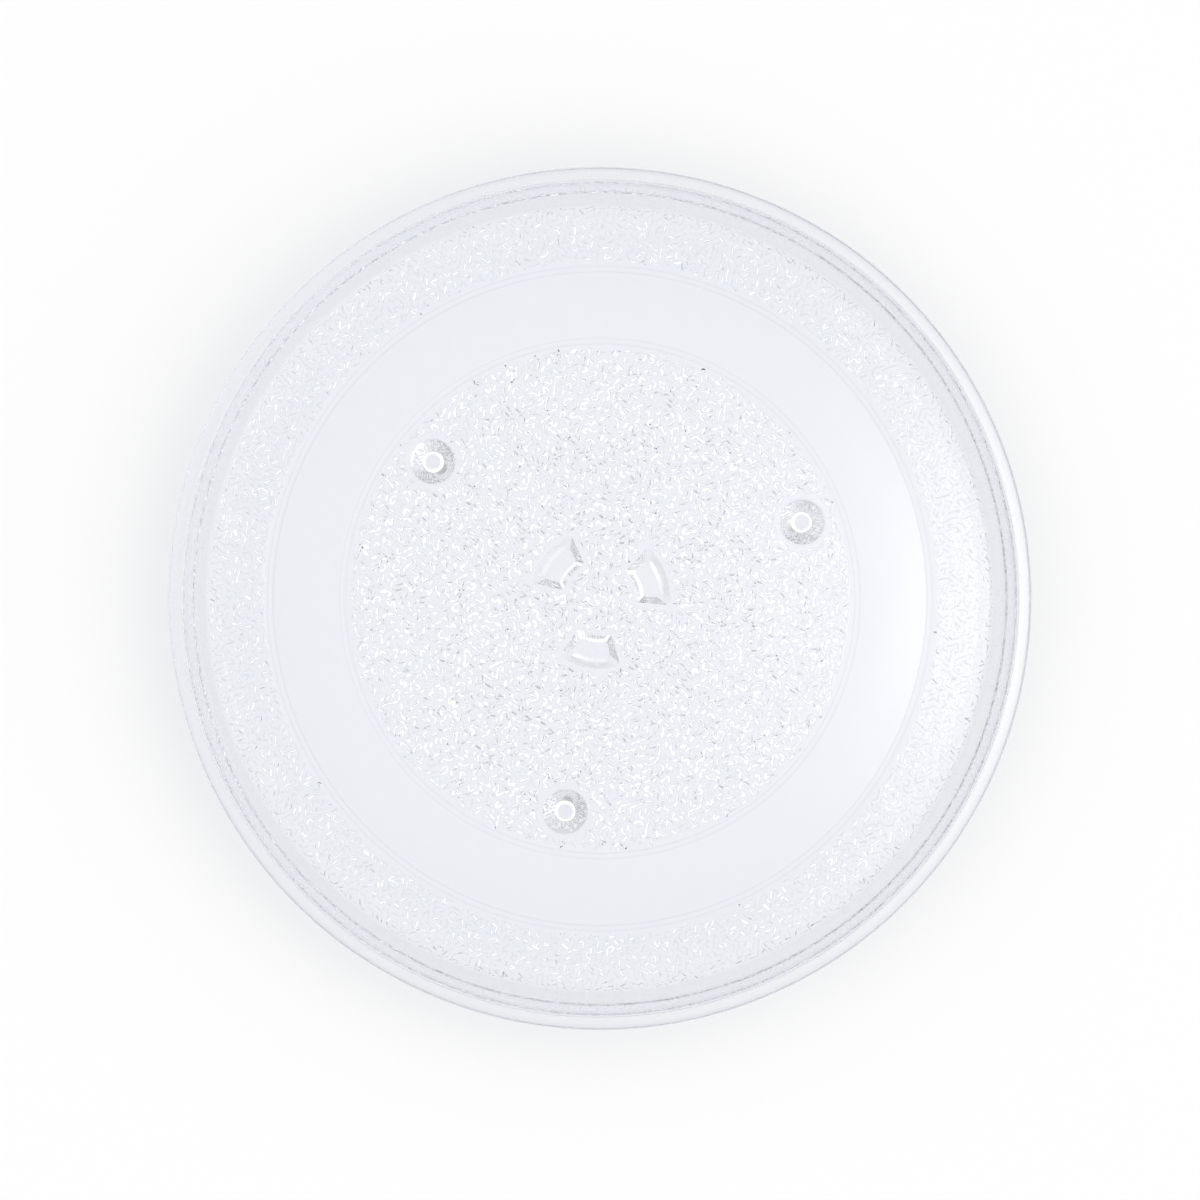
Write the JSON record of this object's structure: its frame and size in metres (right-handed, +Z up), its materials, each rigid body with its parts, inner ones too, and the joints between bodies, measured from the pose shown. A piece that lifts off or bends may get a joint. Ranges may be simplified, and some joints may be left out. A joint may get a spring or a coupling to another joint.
{
  "type": "microwave turntable plate",
  "caption": "Round pressed-glass dish that carries food on a microwave oven's turntable, with a roller track, drive lugs and feet on its underside.",
  "frame": {"origin": "on the axis of rotation, level with the tips of the feet", "axes": "+Z up out of the food face along the axis of rotation, +X through one drive lug and the foot in line with it"},
  "size_m": [0.255, 0.255, 0.0207],
  "materials": {
    "glass": "clear pressed glass, fire-polished, with a fine pebbled stipple on the underside"
  },
  "bodies": {
    "root": {"glass_plate": "glass"}
  },
  "joints": []
}
